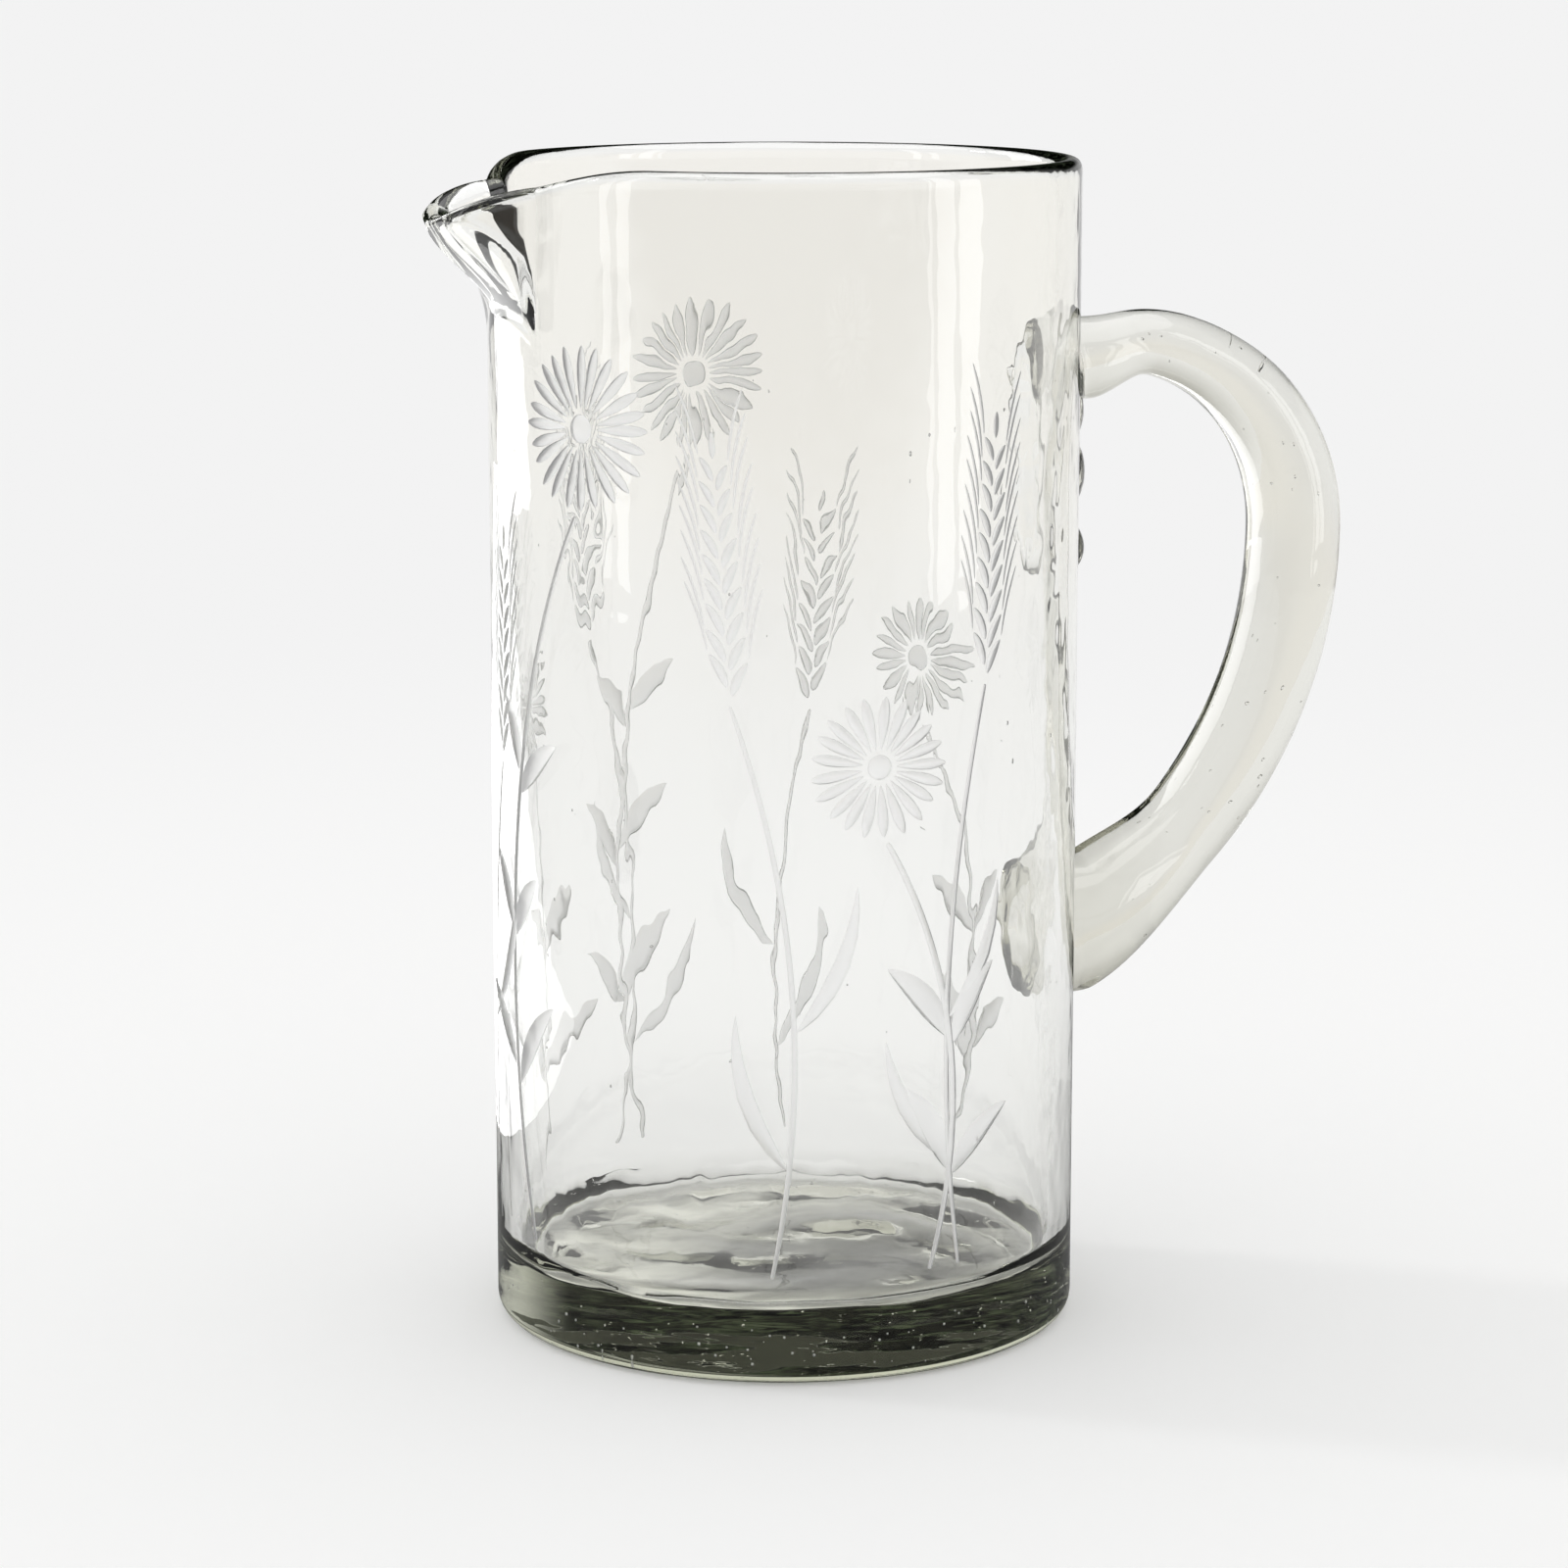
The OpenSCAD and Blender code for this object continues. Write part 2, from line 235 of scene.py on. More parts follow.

# Floor: film of air under the foot, the paper to the eye, and the painted shade, painted shadow and painted
# light that it shows in mirrored light and through glass
FLOOR_SIZE = 60.0
FLOOR_GAP = 0.1 * MM
PAPER = "F9F9F9"
# Painted shade on the paper, seen only in glass: dim far in front, dark where unlit, by the foot, and
# painted warm light behind
PAINTED_FAR_SHADE, PAINTED_UNLIT_SHADE, PAINTED_FOOT_SHADE, PAINTED_WARM_BEHIND = "A8A198", "14170F", "2E302A", "F6F4F0"
# Painted shadow under the base, seen through glass: dark at its heart, pale at its edge, and where its
# heart lies
PAINTED_SHADOW_HEART, PAINTED_SHADOW_EDGE = "1E2118", "F0F0EA"
HEART_PLACE = (13.0 * MM, -2.0 * MM, 0)
# Painted light: the paper glows, though it is no lamp, near the pitcher, behind it and in swirls under the
# base; then the swirls' width and noise
PAINTED_GLOW = "F4F4EC"
GLOW_SWIRL_W, GLOW_DETAIL, GLOW_DISTORTION = 32.0 * MM, 5.0, 2.0
# Shares of the floor: what each follows, where it starts from 0, where it is full, and its strength then.
# The depths count how often glass has mirrored the light or let it through.
FLOOR_FADES = {
    "mirrored": ("mirrored_depth", 0, 1, 1.0, "LINEAR"),
    "mirrored_twice": ("mirrored_depth", 1, 2, 1.0, "LINEAR"),
    "through": ("through_depth", 0, 1, 1.0, "LINEAR"),
    "outside": ("through_depth", 1, 0, 1.0, "LINEAR"),
    "shallow": ("through_depth", 3, 2, 1.0, "LINEAR"),
    "front": ("ahead", -0.4, -1.6, 1.0, "SMOOTHSTEP"),
    "behind": ("ahead", 0.3, 1.5, 1.0, "SMOOTHSTEP"),
    "behind_glow": ("ahead", 0.3, 1.5, 0.07, "SMOOTHSTEP"),
    "back_half": ("ahead", 0.0, MM, 1.0, "LINEAR"),
    "near": ("radius", 0.2, 0.2 - MM, 1.0, "LINEAR"),
    "foot": ("radius", 0.4, 0.12, 0.75, "SMOOTHSTEP"),
    "bright": ("radius", 0.9, 0.15, 0.06, "SMOOTHSTEP"),
    "under": ("radius", 49 * MM, 43 * MM, 1.0, "LINEAR"),
    "edge": ("heart", 19 * MM, 42 * MM, 1.0, "LINEAR"),
    "swirl": ("swirl", 0.36, 0.56, 0.5, "LINEAR"),
}
# Places where shares meet, as their product
FLOOR_MEETS = {
    "far": ("mirrored", "front"),
    "unlit": ("mirrored_twice", "shallow", "near", "back_half"),
    "outer_gleam": ("mirrored", "outside"),
    "by_foot": ("outer_gleam", "foot"),
    "beyond": ("through", "behind"),
    "beyond_glow": ("through", "behind_glow"),
    "painted_shadow_disc": ("through", "under"),
    "painted_gathered_light": ("swirl", "edge", "painted_shadow_disc"),
}

# World: pale all round, dimmer up and to the right through glass, a dark, streaked room in mirrored light
SKY, SKY_THROUGH, SKY_DIM = "F3F3F3", "FBFBFA", "CBCAC4"
ROOM_DARK, ROOM_STREAK = "080906", "5C6653"
STREAK_STRETCH, STREAK_SCALE, STREAK_DETAIL = (3, 3, 22), 2.0, 3.0
WORLD_FADES = {
    "mirrored": ("mirrored_depth", 0, 1, 1.0, "LINEAR"),
    "through": ("through_depth", 0, 1, 1.0, "LINEAR"),
    "shallow": ("through_depth", 3, 2, 1.0, "LINEAR"),
    "direct": ("scattered_depth", 1, 0, 1.0, "LINEAR"),
    "left": ("right", -0.45, -0.9, 1.0, "SMOOTHSTEP"),
    "beside": ("ahead", 0.25, 0.0, 1.0, "SMOOTHSTEP"),
    "above": ("up", 0.55, 0.9, 1.0, "SMOOTHSTEP"),
    "front": ("ahead", -0.3, -0.75, 0.9, "SMOOTHSTEP"),
    "right": ("right", 0.55, 0.9, 1.0, "SMOOTHSTEP"),
    "level": ("up", 0.2, 0.08, 0.7, "SMOOTHSTEP"),
    "rightward": ("right", -0.05, 0.25, 1.0, "SMOOTHSTEP"),
    "streak": ("streak", 0.48, 0.72, 1.0, "LINEAR"),
    "dim_right": ("right", -0.5, 0.5, 1.0, "SMOOTHSTEP"),
    "dim_high": ("up", 0.0, 0.7, 0.8, "SMOOTHSTEP"),
    "raised": ("up", 0.0, 0.4, 1.0, "LINEAR"),
}
WORLD_MEETS = {
    "left_side": ("left", "beside"),
    "level_right": ("level", "rightward"),
    "dim_side": ("dim_right", "raised"),
    "dim_top": ("dim_high", "raised"),
    "seen_through": ("through", "direct"),
    "seen_mirrored": ("mirrored", "shallow", "direct"),
}
LIT_SIDES = ("left_side", "above", "front", "right", "level_right")

# Panels of soft light, which show only as gleams on the glass: degrees clockwise from the view, distance,
# height of the middle, tilt in degrees, width, length and strength. Windows stand, the sunlit floor lies.
PANELS = (
    ("window_back_left", -50, 1.2, 0.6, -90, 0.7, 1.2, 2.5),
    ("skylight", -CAMERA_TURN, 0.0, 1.2, 0, 1.4, 1.4, 1.4),
    ("sunlit_floor", -38, 0.75, MM, 180, 0.5, 1.2, 2.5),
    ("window_left", -118, 1.0, 0.5, -90, 0.1, 1.0, 2.5),
    ("window_left_pane", -110, 1.0, 0.3, -90, 0.08, 0.6, 2.0),
    ("window_right", 106, 1.0, 0.25, -90, 0.16, 0.5, 2.5),
    ("window_right_pane", 117, 1.0, 0.5, -90, 0.14, 1.0, 2.5),
    ("window_right_edge", 124, 1.0, 0.4, -90, 0.03, 0.8, 2.0),
)

# Sun: degrees clockwise from the view, height and apparent width in degrees
SUN_TURN = -73.0
SUN_HEIGHT = 38.0
SUN_WIDTH = 6.0
SUN_STRENGTH = 0.25


def linear(hex_colour):
    """Linear RGBA of an sRGB hex colour."""
    channels = [int(hex_colour[i : i + 2], 16) / 255 for i in (0, 2, 4)]
    return [c / 12.92 if c <= 0.04045 else ((c + 0.055) / 1.055) ** 2.4 for c in channels] + [1.0]


def add_node(tree, kind, links=None, **settings):
    """Adds a node; settings are its properties, and links give its inputs an output socket or a value."""
    node = tree.nodes.new("ShaderNode" + kind)
    for name, value in settings.items():
        setattr(node, name, value)
    for name, value in (links or {}).items():
        if isinstance(value, bpy.types.NodeSocket):
            tree.links.new(value, node.inputs[name])
        else:
            node.inputs[name].default_value = value
    return node


def rise(share):
    """Smooth step from 0 to 1."""
    share = min(max(share, 0.0), 1.0)
    return share * share * (3 - 2 * share)


def bump(share):
    """Smooth fall from 1 to 0."""
    return 1 - rise(share)


def activate(piece):
    bpy.ops.object.select_all(action="DESELECT")
    piece.select_set(True)
    bpy.context.view_layer.objects.active = piece


def apply_modifier(piece, kind, **settings):
    activate(piece)
    modifier = piece.modifiers.new(kind.lower(), kind)
    for name, value in settings.items():
        setattr(modifier, name, value)
    bpy.ops.object.modifier_apply(modifier=modifier.name)


def split_faces(piece):
    """Turns the faces into triangles, which stay flat however they are bent and cut."""
    activate(piece)
    bpy.ops.object.mode_set(mode="EDIT")
    bpy.ops.mesh.select_all(action="SELECT")
    bpy.ops.mesh.quads_convert_to_tris()
    bpy.ops.object.mode_set(mode="OBJECT")


def smooth(piece, angle):
    """Shades the piece smooth, apart from edges sharper than the angle."""
    activate(piece)
    bpy.ops.object.shade_smooth_by_angle(angle=math.radians(angle))


def wrap(co):
    """Bends a flat pattern round the outer wall: x is the distance from the axis, y the length round it."""
    angle = co.y / OUTER_R
    return Vector((co.x * math.cos(angle), co.x * math.sin(angle), co.z))


# Body


def arc(centre_r, centre_z, radius, start, end, parts):
    return [
        (
            centre_r + radius * math.cos(math.radians(start + (end - start) * i / parts)),
            centre_z + radius * math.sin(math.radians(start + (end - start) * i / parts)),
        )
        for i in range(parts + 1)
    ]


def span(start, end, step):
    """Values from start to end in equal steps of about the given size, without the end."""
    count = max(1, round(abs(end - start) / step))
    return [start + (end - start) * i / count for i in range(count)]


def body_profile():
    """Half section of the body as (radius, height): underside, outer wall, rim, inner wall and floor."""
    rim_r = WALL_T / 2
    rim_z = BODY_H - rim_r
    foot_x = OUTER_R - FOOT_ROUND_R
    fillet_x = INNER_R - FLOOR_FILLET_R
    fillet_z = FLOOR_T + FLOOR_FILLET_R
    fine_z = SPOUT_Z - FINE_DROP
    underside = [(r, 0) for r in span(0, foot_x, UNDERSIDE_STEP)]
    foot = arc(foot_x, FOOT_ROUND_R, FOOT_ROUND_R, -90, 0, FOOT_PARTS)
    outside = [(OUTER_R, z) for z in span(FOOT_ROUND_R, fine_z, WALL_STEP)[1:]]
    outside += [(OUTER_R, z) for z in span(fine_z, rim_z, SPOUT_STEP)]
    rim = arc(OUTER_R - rim_r, rim_z, rim_r, 0, 180, RIM_PARTS)
    inside = [(INNER_R, z) for z in span(rim_z, fine_z, SPOUT_STEP)[1:]]
    inside += [(INNER_R, z) for z in span(fine_z, fillet_z, WALL_STEP)]
    fillet = arc(fillet_x, fillet_z, FLOOR_FILLET_R, 0, -90, FILLET_PARTS)
    floor = [(r, FLOOR_T) for r in span(fillet_x, 0, FLOOR_STEP)[1:]]
    return underside + foot + outside + rim + inside + fillet + floor + [(0, FLOOR_T)]


def turn_body():
    """The body blown and turned: its half section drawn point by point and spun about the axis."""
    bpy.ops.object.select_all(action="DESELECT")
    bpy.ops.mesh.primitive_plane_add(size=MM)
    body = bpy.context.object
    body.name = "blown_body"
    bpy.ops.object.mode_set(mode="EDIT")
    bpy.ops.mesh.select_all(action="SELECT")
    bpy.ops.mesh.merge(type="CENTER")
    points = body_profile()
    for (r0, z0), (r1, z1) in zip(points, points[1:]):
        bpy.ops.mesh.extrude_region_move(TRANSFORM_OT_translate={"value": (r1 - r0, 0, z1 - z0)})
    bpy.ops.mesh.select_all(action="SELECT")
    bpy.ops.mesh.spin(steps=SEGMENTS, angle=2 * math.pi, center=(0, 0, 0), axis=(0, 0, 1))
    bpy.ops.mesh.select_all(action="SELECT")
    bpy.ops.mesh.remove_doubles(threshold=MERGE_GAP)
    bpy.ops.mesh.normals_make_consistent(inside=False)
    bpy.ops.object.mode_set(mode="OBJECT")
    return body


def spout_angle(co):
    """Angle in degrees from the middle of the spout, about the axis."""
    return math.degrees(math.atan2(co.y, -co.x))


def spout_push(angle, z, across):
    """How far the hot wall is drawn out; across is 0 on the outer face and 1 on the inner one."""
    half = SPOUT_ANGLE + (SPOUT_INNER_ANGLE - SPOUT_ANGLE) * across
    share = min(1.0, abs(angle) / half)
    side = SPOUT_REACH * (1 - share * share) ** (SIDE_CURVE + (INNER_CURVE - SIDE_CURVE) * across)
    crease_z = SPOUT_TIP_Z - CREASE_DROP * share**CREASE_CURVE
    foot_z = SPOUT_FOOT_Z - CHEEK_FALL * share * share
    grown = min(1.0, (z - foot_z - SPOUT_FILL * across) / (crease_z - foot_z))
    sharp = 1 - CREASE_SHARE * share * (1 - across)
    drawn = side * rise(sharp * grown) / rise(sharp)
    throat_z = (z - THROAT_FOOT_Z) / (THROAT_TOP_Z - THROAT_FOOT_Z)
    throat = THROAT_DEPTH * bump(abs(angle) / THROAT_ANGLE) * rise(throat_z)
    return math.hypot(drawn, throat)


def lip_drop(angle):
    """How far the rim sags towards the spout and dips at its tip."""
    return LIP_SAG * bump(abs(angle) / LIP_ANGLE) + TIP_DIP * bump(abs(angle) / SPOUT_ANGLE)


def pull_spout(body):
    """Makes the mesh finer round the spout, then draws the wall out and lets the lip sag."""
    activate(body)
    bpy.ops.object.mode_set(mode="EDIT")
    bpy.ops.mesh.select_mode(type="FACE")
    bpy.ops.mesh.select_all(action="DESELECT")
    bpy.ops.object.mode_set(mode="OBJECT")
    fine_angle = SPOUT_ANGLE + FINE_MARGIN_ANGLE
    for face in body.data.polygons:
        face.select = face.center.z > SPOUT_Z and abs(spout_angle(face.center)) < fine_angle
    bpy.ops.object.mode_set(mode="EDIT")
    bpy.ops.mesh.subdivide(number_cuts=FINE_CUTS)
    bpy.ops.object.mode_set(mode="OBJECT")
    for vertex in body.data.vertices:
        co = vertex.co
        radius = math.hypot(co.x, co.y)
        if co.z <= THROAT_FOOT_Z or radius < INNER_R - WALL_SLACK:
            continue
        angle = spout_angle(co)
        share = max(0.0, (co.z - SPOUT_Z) / (BODY_H - SPOUT_Z))
        z = co.z - lip_drop(angle) * share
        across = min(1.0, max(0.0, (OUTER_R - radius) / WALL_T))
        drawn = 1 + spout_push(angle, z, across) / radius
        vertex.co = (co.x * drawn, co.y * drawn, z)


def flat_swell(x, y, swells):
    """Noise on a level face, between about -1 and 1."""
    width, length, layer = swells
    return noise.noise(Vector((x / width, y / length, layer)))


def ripple(body):
    """Unevenness of blown glass: thick and thin places in the wall, a swirled floor, a hollow underside."""
    hollow_r = OUTER_R - RING_W
    for vertex in body.data.vertices:
        x, y, z = vertex.co
        radius = math.hypot(x, y)
        outer = radius > OUTER_R - OUTER_FACE_SHARE * WALL_T and z > FOOT_ROUND_R
        inner = radius > INNER_R - FLOOR_FILLET_R and z > FLOOR_T + FILLET_CLEAR
        if outer or inner:
            width, height, depth, layer = OUTER_SWELLS if outer else INNER_SWELLS
            push = depth * noise.noise(Vector((x / width, y / width, z / height + layer)))
            vertex.co.x *= (radius + push) / radius
            vertex.co.y *= (radius + push) / radius
        elif z > FLOOR_T / 2:
            turned = complex(x, y) * cmath.rect(1, FLOOR_TWIST * radius)
            swell = flat_swell(turned.real, turned.imag, FLOOR_SWELLS)
            swell += FINE_SHARE * flat_swell(turned.real, turned.imag, FINE_SWELLS)
            vertex.co.z += FLOOR_DEPTH * swell
        elif z < UNDERSIDE_SLACK and radius < hollow_r:
            swell = flat_swell(x, y, HOLLOW_SWELLS)
            vertex.co.z += HOLLOW_DEPTH * rise((hollow_r - radius) / HOLLOW_SLOPE_W) * (1 + swell)


# Handle


def handle_middle(s):
    """Middle of the handle at a length along it, as (x, z), and how far its section has turned."""
    sag = UPPER_ROOT_SAG * bump(s / UPPER_FLARE)
    if s <= ROOT_RUN:
        return WELD_X + s, HANDLE_TOP_Z - sag, 0
    if s <= ROOT_RUN + UPPER_RUN:
        turn = math.pi / 2 * (s - ROOT_RUN) / UPPER_RUN
        x = UPPER_BEND_X + UPPER_BEND_R * math.sin(turn)
        return x, BEND_Z + UPPER_BEND_R * math.cos(turn) - sag, turn
    share = (s - ROOT_RUN - UPPER_RUN) / LOWER_RUN
    sweep = LOWER_SWEEP * share
    turn = math.pi / 2 * (1 + share)
    return LOWER_BEND_X + LOWER_BEND_R * math.cos(sweep), BEND_Z - LOWER_BEND_R * math.sin(sweep), turn


def handle_size(s, part):
    """Thickness (part 0) or width (part 1) of the handle at a length along it."""
    plain = HANDLE_TOP[part] + (HANDLE_LOW[part] - HANDLE_TOP[part]) * rise(s / (ROOT_RUN + UPPER_RUN))
    upper = (UPPER_ROOT[part] - plain) * bump(s / UPPER_FLARE)
    lower = (LOWER_ROOT[part] - plain) * bump((HANDLE_RUN - s) / LOWER_FLARE)
    return plain + upper + lower


def draw_handle():
    """The applied rod, drawn ring by ring from its upper root round to the lower one."""
    bpy.ops.object.select_all(action="DESELECT")
    bpy.ops.mesh.primitive_circle_add(vertices=HANDLE_SIDES, radius=1, fill_type="NGON")
    handle = bpy.context.object
    handle.name = "applied_handle"
    bpy.ops.object.mode_set(mode="EDIT")
    for _ in range(HANDLE_RINGS):
        bpy.ops.mesh.extrude_region_move(TRANSFORM_OT_translate={"value": (0, 0, 1)})
    bpy.ops.object.mode_set(mode="OBJECT")
    for vertex in handle.data.vertices:
        out, across, ring = vertex.co
        s = HANDLE_RUN * ring / HANDLE_RINGS
        x, z, turn = handle_middle(s)
        if round(ring) in (0, HANDLE_RINGS):
            x = INNER_R
        if out < 0:
            across = math.copysign(abs(across) ** INNER_SIDE_CURVE, across)
            out = -(abs(out) ** INNER_SIDE_CURVE)
        across *= handle_size(s, 1) / 2
        out *= handle_size(s, 0) / 2
        vertex.co = (x + out * math.sin(turn), across, z + out * math.cos(turn))
    activate(handle)
    bpy.ops.object.mode_set(mode="EDIT")
    bpy.ops.mesh.select_all(action="SELECT")
    bpy.ops.mesh.normals_make_consistent(inside=False)
    bpy.ops.object.mode_set(mode="OBJECT")
    return handle


def press_tail():
    """Lumps of spare glass pressed down the wall below the upper root, each a flattened gob."""
    low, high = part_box("upper_weld")
    length = high.z - low.z
    gobs = []
    for share, width, height, thick, shift in TAIL_GOBS:
        bpy.ops.object.select_all(action="DESELECT")
        bpy.ops.mesh.primitive_uv_sphere_add(segments=GOB_SEGMENTS, ring_count=GOB_RINGS, radius=1)
        gob = bpy.context.object
        bpy.ops.object.mode_set(mode="EDIT")
        bpy.ops.mesh.select_all(action="SELECT")
        bpy.ops.transform.resize(value=(thick, width / 2, height / 2))
        bpy.ops.transform.translate(value=(OUTER_R, shift, low.z + share * length))
        bpy.ops.object.mode_set(mode="OBJECT")
        for vertex in gob.data.vertices:
            vertex.co = wrap(vertex.co)
        gobs.append(gob)
    return gobs


def wall_core():
    """Plug that trims the handle: the wall and a film of air, uneven where the hot glass chilled."""
    bpy.ops.object.select_all(action="DESELECT")
    bpy.ops.mesh.primitive_grid_add(x_subdivisions=CORE_PARTS_W, y_subdivisions=CORE_PARTS_H, size=1)
    core = bpy.context.object
    bpy.ops.object.mode_set(mode="EDIT")
    bpy.ops.mesh.select_all(action="SELECT")
    bpy.ops.mesh.extrude_region_move(TRANSFORM_OT_translate={"value": (0, 0, -1)})
    bpy.ops.mesh.select_all(action="SELECT")
    bpy.ops.mesh.normals_make_consistent(inside=False)
    bpy.ops.object.mode_set(mode="OBJECT")
    for vertex in core.data.vertices:
        y = vertex.co.x * CORE_W
        z = (vertex.co.y + 0.5) * BODY_H
        lump = max(0.0, flat_swell(y, z, (CHILL_W, CHILL_H, CHILL_LAYER)))
        radius = OUTER_R + WELD_FILM + CHILL_DEPTH * lump
        vertex.co = wrap(Vector((radius + 2 * WALL_T * vertex.co.z, y, z)))
    split_faces(core)
    return core


def build_handle():
    """Rod and pressed gobs, melted into one piece and trimmed to the wall."""
    handle = draw_handle()
    gobs = press_tail()
    activate(handle)
    for gob in gobs:
        gob.select_set(True)
    bpy.ops.object.join()
    apply_modifier(handle, "REMESH", mode="VOXEL", voxel_size=MELT_VOXEL)
    apply_modifier(handle, "SMOOTH", factor=MELT_FACTOR, iterations=MELT_PASSES)
    normals = [vertex.normal.copy() for vertex in handle.data.vertices]
    for vertex, normal in zip(handle.data.vertices, normals):
        x, y, z = vertex.co
        swell = noise.noise(Vector((x / ROD_W, y / ROD_W, z / ROD_H)))
        lump = noise.noise(Vector((x / LUMP_W, y / LUMP_W, z / LUMP_H)))
        near = bump((math.hypot(x, y) - OUTER_R) / LUMP_REACH)
        vertex.co += normal * (ROD_DEPTH * swell + LUMP_DEPTH * near * lump)
    core = wall_core()
    apply_modifier(handle, "BOOLEAN", operation="DIFFERENCE", object=core, solver="MANIFOLD")
    bpy.data.objects.remove(core)
    handle.data.materials.clear()
    return handle


# Wheel-cut pattern: a stroke is a spindle along a line of complex numbers, length round the wall and height


def plain_spindle(sides, rings):
    """The shape that every pass of the cutting wheel is a copy of: a unit ball whose poles are its ends."""
    bpy.ops.object.select_all(action="DESELECT")
    bpy.ops.mesh.primitive_uv_sphere_add(segments=sides, ring_count=rings, radius=1)
    split_faces(bpy.context.object)
    return bpy.context.object


def along(start, end, bow, s):
    """Place and heading at a share of a bowed line."""
    run = end - start
    ahead = run * (1 + 1j * bow * 4 * (1 - 2 * s))
    return start + run * (s + 1j * bow * 4 * s * (1 - s)), ahead / abs(ahead)


def stroke(spindle, start, end, width, depth, bow=0.0, point=0.7, skew=0.0, lean=0.0):
    """One pass of the wheel; bow bends its line, point sharpens its ends, skew fattens its far end."""
    cut = spindle.copy()
    cut.data = spindle.data.copy()
    bpy.context.collection.objects.link(cut)
    for vertex in cut.data.vertices:
        x, y, z = vertex.co
        s = min(1.0, max(0.0, (z + 1) / 2))
        ring = math.hypot(x, y) or 1.0
        full = (4 * s * (1 - s)) ** point * (1 + skew * z) / ring
        across = width / 2 * full * y
        out = depth * full * x + across * math.sin(lean)
        middle, heading = along(start, end, bow, s)
        spot = middle - 1j * across * math.cos(lean) * heading
        vertex.co = wrap(Vector((OUTER_R + out, spot.real, spot.imag)))
    return cut


def turned_by(degrees):
    """Unit complex number that turns a heading to the left."""
    return cmath.rect(1, math.radians(degrees))


def cut_daisy(spindle, stem_spindle, hand, turn, height, radius, petals, lean):
    """Stem with pairs of leaves, and a full round flower with a dished middle."""
    middle = complex(math.radians(turn) * OUTER_R, height)
    foot = complex(middle.real - lean * (height - SPRAY_FOOT_Z), SPRAY_FOOT_Z)
    top = middle + (foot - middle) / abs(foot - middle) * (radius + FLOWER_GAP)
    stems = [stroke(stem_spindle, foot, top, STEM_W, STEM_DEPTH, lean, STEM_POINT)]
    leaves = [], []
    pairs = LEAF_PAIRS + (height > TALL_STEM_Z)
    for pair in range(pairs):
        spot, ahead = along(foot, top, lean, FIRST_LEAF_SHARE + LEAVES_SHARE * pair / pairs)
        for side in (1, -1):
            heading = ahead * turned_by(side * hand.uniform(*LEAF_ANGLES))
            length = LEAF_L * hand.uniform(*LEAF_LENGTHS) * (1 - LEAF_LOSS_SHARE * pair)
            root = spot + heading * LEAF_GAP + ahead * hand.uniform(0, LEAF_STAGGER) * (side > 0)
            tip = root + heading * length
            bow, tilt = -LEAF_BOW * side, LEAF_LEAN * side
            leaf = stroke(spindle, root, tip, LEAF_W, LEAF_DEPTH, bow, LEAF_POINT, LEAF_SKEW, tilt)
            leaves[side > 0].append(leaf)
    eye = 1j * EYE_SHARE * radius
    flowers = [stroke(spindle, middle - eye, middle + eye, abs(2 * eye), LEAF_DEPTH, 0, EYE_POINT)]
    width = math.pi * radius / petals
    for petal in range(petals):
        heading = cmath.rect(1, math.tau * (petal + hand.uniform(-PETAL_STRAY, PETAL_STRAY)) / petals)
        root = middle + PETAL_ROOT_SHARE * radius * heading
        tip = middle + heading * radius * hand.uniform(*PETAL_LENGTHS)
        flowers.append(stroke(spindle, root, tip, width, PETAL_DEPTH, 0, PETAL_POINT, PETAL_SKEW))
    return stems, *leaves, flowers


def cut_ear(spindle, stem_spindle, hand, turn, height, pairs, lean):
    """Stalk with two long blades, and an ear of grains in two rows, each with a fine awn."""
    base = complex(math.radians(turn) * OUTER_R, height)
    foot = complex(base.real - lean * (height - SPRAY_FOOT_Z), SPRAY_FOOT_Z)
    top = base - 1j * STALK_GAP
    stems = [stroke(stem_spindle, foot, top, STALK_SHARE * STEM_W, STEM_DEPTH, lean, STEM_POINT)]
    leaves, grains = ([], []), []
    for side, share in BLADES:
        spot, ahead = along(foot, base, lean, share)
        heading = ahead * turned_by(side * BLADE_ANGLE)
        root = spot + heading * LEAF_GAP
        tip = root + heading * BLADE_L * hand.uniform(*BLADE_LENGTHS)
        blade = stroke(spindle, root, tip, BLADE_W, LEAF_DEPTH, BLADE_BOW * side, LEAF_POINT, BLADE_SKEW)
        leaves[side > 0].append(blade)
    up = 1j * cmath.rect(1, -lean)
    for pair in range(pairs):
        slim = 1 - GRAIN_LOSS_SHARE * (pair / pairs) ** 2
        width = GRAIN_W * slim
        for side in (1, -1):
            heading = up * turned_by(side * hand.uniform(*GRAIN_ANGLES))
            step = (pair + GRAIN_STAGGER_SHARE * (side > 0)) * GRAIN_STEP
            root = base + up * step + heading * GRAIN_GAP
            tip = root + heading * GRAIN_L * slim
            bow = -GRAIN_BOW * side
            grains.append(stroke(spindle, root, tip, width, PETAL_DEPTH, bow, GRAIN_POINT, GRAIN_SKEW))
            awn = tip + heading * AWN_GAP
            awn_tip = awn + up * turned_by(side * AWN_ANGLE) * AWN_L
            stems.append(stroke(spindle, awn, awn_tip, AWN_W, AWN_DEPTH, -AWN_BOW * side, AWN_POINT))
    root = base + up * (pairs + LAST_GRAIN_STEP) * GRAIN_STEP
    tip = root + up * LAST_GRAIN_SHARE * GRAIN_L
    grains.append(stroke(spindle, root, tip, LAST_GRAIN_SHARE * GRAIN_W, PETAL_DEPTH, 0, GRAIN_POINT))
    return stems, *leaves, grains


